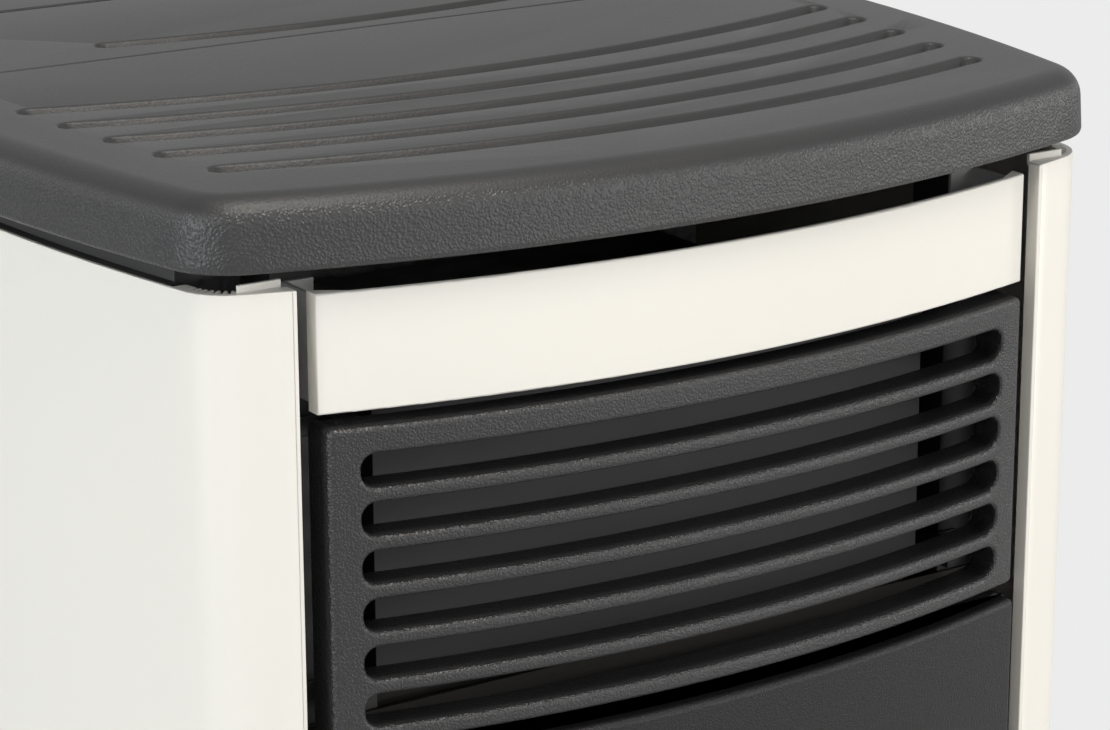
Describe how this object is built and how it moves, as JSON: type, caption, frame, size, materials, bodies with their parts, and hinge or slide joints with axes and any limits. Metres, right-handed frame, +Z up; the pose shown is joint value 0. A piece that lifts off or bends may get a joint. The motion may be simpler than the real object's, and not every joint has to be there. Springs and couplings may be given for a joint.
{
  "type": "pellet stove",
  "caption": "Free-standing pellet stove: bowed cast top with hopper lid, cream sheet sides and band, slotted cast air grille, glazed fire door, ash drawer.",
  "frame": {"origin": "on the floor, under the middle of the overall box", "axes": "+Z up, -Y towards the front where the fire door is, +X to the right seen from the front"},
  "size_m": [0.5396, 0.584, 0.981],
  "materials": {
    "cast_iron_top": "fine textured dark grey heat paint",
    "cast_iron_black": "matt black heat paint",
    "cream_sheet": "satin cream powder coat",
    "dark_sheet": "matt dark sheet",
    "zinc_sheet": "zinc plated sheet",
    "black_steel": "matt black steel",
    "bright_steel": "turned steel",
    "ceramic_glass": "clear ceramic glass",
    "grey_rope": "glass-fibre rope and tape",
    "silicone": "matt silicone",
    "foot_plastic": "matt black plastic pad on a steel stud",
    "black_plastic": "matt black plastic",
    "display": "smoked display window",
    "board": "green circuit board",
    "motor_metal": "die-cast motor body",
    "handle_steel": "satin steel"
  },
  "bodies": {
    "stove": {"cast_top_plate": "cast_iron_top", "lid_hinge_pins": "bright_steel", "right_side_panel": "cream_sheet", "left_side_panel": "cream_sheet", "front_band": "cream_sheet", "air_grille": "cast_iron_top", "grille_baffle": "dark_sheet", "front_brackets": "dark_sheet", "door_hinge_pins": "bright_steel", "latch_keeper": "bright_steel", "door_surround": "black_steel", "base_tray": "black_steel", "chassis_posts": "dark_sheet", "top_frame": "dark_sheet", "firebox_stand": "black_steel", "rear_bulkhead": "zinc_sheet", "firebox": "black_steel", "fire_liner": "cast_iron_black", "hearth_plate": "cast_iron_black", "igniter": "bright_steel", "heat_exchanger": "black_steel", "hopper": "zinc_sheet", "auger_tube": "black_steel", "auger_gearmotor": "motor_metal", "exhaust_housing": "motor_metal", "exhaust_motor": "motor_metal", "flue_collar": "zinc_sheet", "air_intake_pipe": "zinc_sheet", "room_fan_housing": "zinc_sheet", "room_fan_motor": "motor_metal", "circuit_board": "board", "rear_panel": "black_steel", "rear_screws": "bright_steel", "power_inlet": "black_plastic", "control_panel": "black_plastic", "display_window": "display"},
    "lid": {"hopper_lid": "cast_iron_top", "lid_seal": "silicone"},
    "door": {"fire_door": "cast_iron_top", "door_glass": "ceramic_glass", "glass_gasket": "grey_rope", "glass_clips": "bright_steel", "clip_screws": "bright_steel", "door_rope_seal": "grey_rope"},
    "handle": {"door_handle": "handle_steel", "latch_tongue": "bright_steel"},
    "drawer": {"ash_drawer_front": "cast_iron_top", "ash_drawer_box": "zinc_sheet"},
    "pot": {"burn_pot": "cast_iron_black"},
    "auger": {"auger_screw": "bright_steel"},
    "impeller": {"exhaust_impeller": "bright_steel"},
    "fan_wheel": {"room_fan_wheel": "bright_steel"},
    "rocker": {"power_rocker": "black_plastic"},
    "key_1": {"button_1": "black_plastic"},
    "key_2": {"button_2": "black_plastic"},
    "key_3": {"button_3": "black_plastic"},
    "foot_fl": {"foot_front_left": "foot_plastic"},
    "foot_fr": {"foot_front_right": "foot_plastic"},
    "foot_rl": {"foot_rear_left": "foot_plastic"},
    "foot_rr": {"foot_rear_right": "foot_plastic"}
  },
  "joints": [
    {"name": "lid_hinge", "type": "hinge", "parent": "stove", "child": "lid", "pos_m": [0, 0.183, 0.975], "axis": [-1, 0, 0], "range_deg": [0, 85]},
    {"name": "door_hinge", "type": "hinge", "parent": "stove", "child": "door", "pos_m": [-0.178, -0.238, 0.4938], "axis": [0, 0, -1], "range_deg": [0, 110]},
    {"name": "handle_turn", "type": "hinge", "parent": "door", "child": "handle", "pos_m": [0.168, -0.24, 0.5], "axis": [0, 1, 0], "range_deg": [0, 60]},
    {"name": "ash_drawer_slide", "type": "slide", "parent": "stove", "child": "drawer", "axis": [0, -1, 0], "range_m": [0, 0.24]},
    {"name": "burn_pot_lift", "type": "slide", "parent": "stove", "child": "pot", "axis": [0, 0, 1], "range_m": [0, 0.045]},
    {"name": "auger_spin", "type": "hinge", "parent": "stove", "child": "auger", "pos_m": [0, 0.16, 0.52], "axis": [0, -0.7896, 0.6136], "continuous": true},
    {"name": "impeller_spin", "type": "hinge", "parent": "stove", "child": "impeller", "pos_m": [0, 0.166, 0.23], "axis": [1, 0, 0], "continuous": true},
    {"name": "fan_wheel_spin", "type": "hinge", "parent": "stove", "child": "fan_wheel", "pos_m": [0, 0.19, 0.392], "axis": [1, 0, 0], "continuous": true},
    {"name": "rocker_tip", "type": "hinge", "parent": "stove", "child": "rocker", "pos_m": [-0.129, 0.251, 0.11], "axis": [-1, 0, 0], "range_deg": [0, 20]},
    {"name": "button_1_press", "type": "slide", "parent": "stove", "child": "key_1", "axis": [0, 0, -1], "range_m": [0, 0.001], "stiffness_N_per_m": 800},
    {"name": "button_2_press", "type": "slide", "parent": "stove", "child": "key_2", "axis": [0, 0, -1], "range_m": [0, 0.001], "stiffness_N_per_m": 800},
    {"name": "button_3_press", "type": "slide", "parent": "stove", "child": "key_3", "axis": [0, 0, -1], "range_m": [0, 0.001], "stiffness_N_per_m": 800},
    {"name": "foot_fl_turn", "type": "hinge", "parent": "stove", "child": "foot_fl", "pos_m": [-0.175, -0.16, 0], "axis": [0, 0, 1], "continuous": true},
    {"name": "foot_fr_turn", "type": "hinge", "parent": "stove", "child": "foot_fr", "pos_m": [0.175, -0.16, 0], "axis": [0, 0, 1], "continuous": true},
    {"name": "foot_rl_turn", "type": "hinge", "parent": "stove", "child": "foot_rl", "pos_m": [-0.175, 0.19, 0], "axis": [0, 0, 1], "continuous": true},
    {"name": "foot_rr_turn", "type": "hinge", "parent": "stove", "child": "foot_rr", "pos_m": [0.175, 0.19, 0], "axis": [0, 0, 1], "continuous": true}
  ]
}
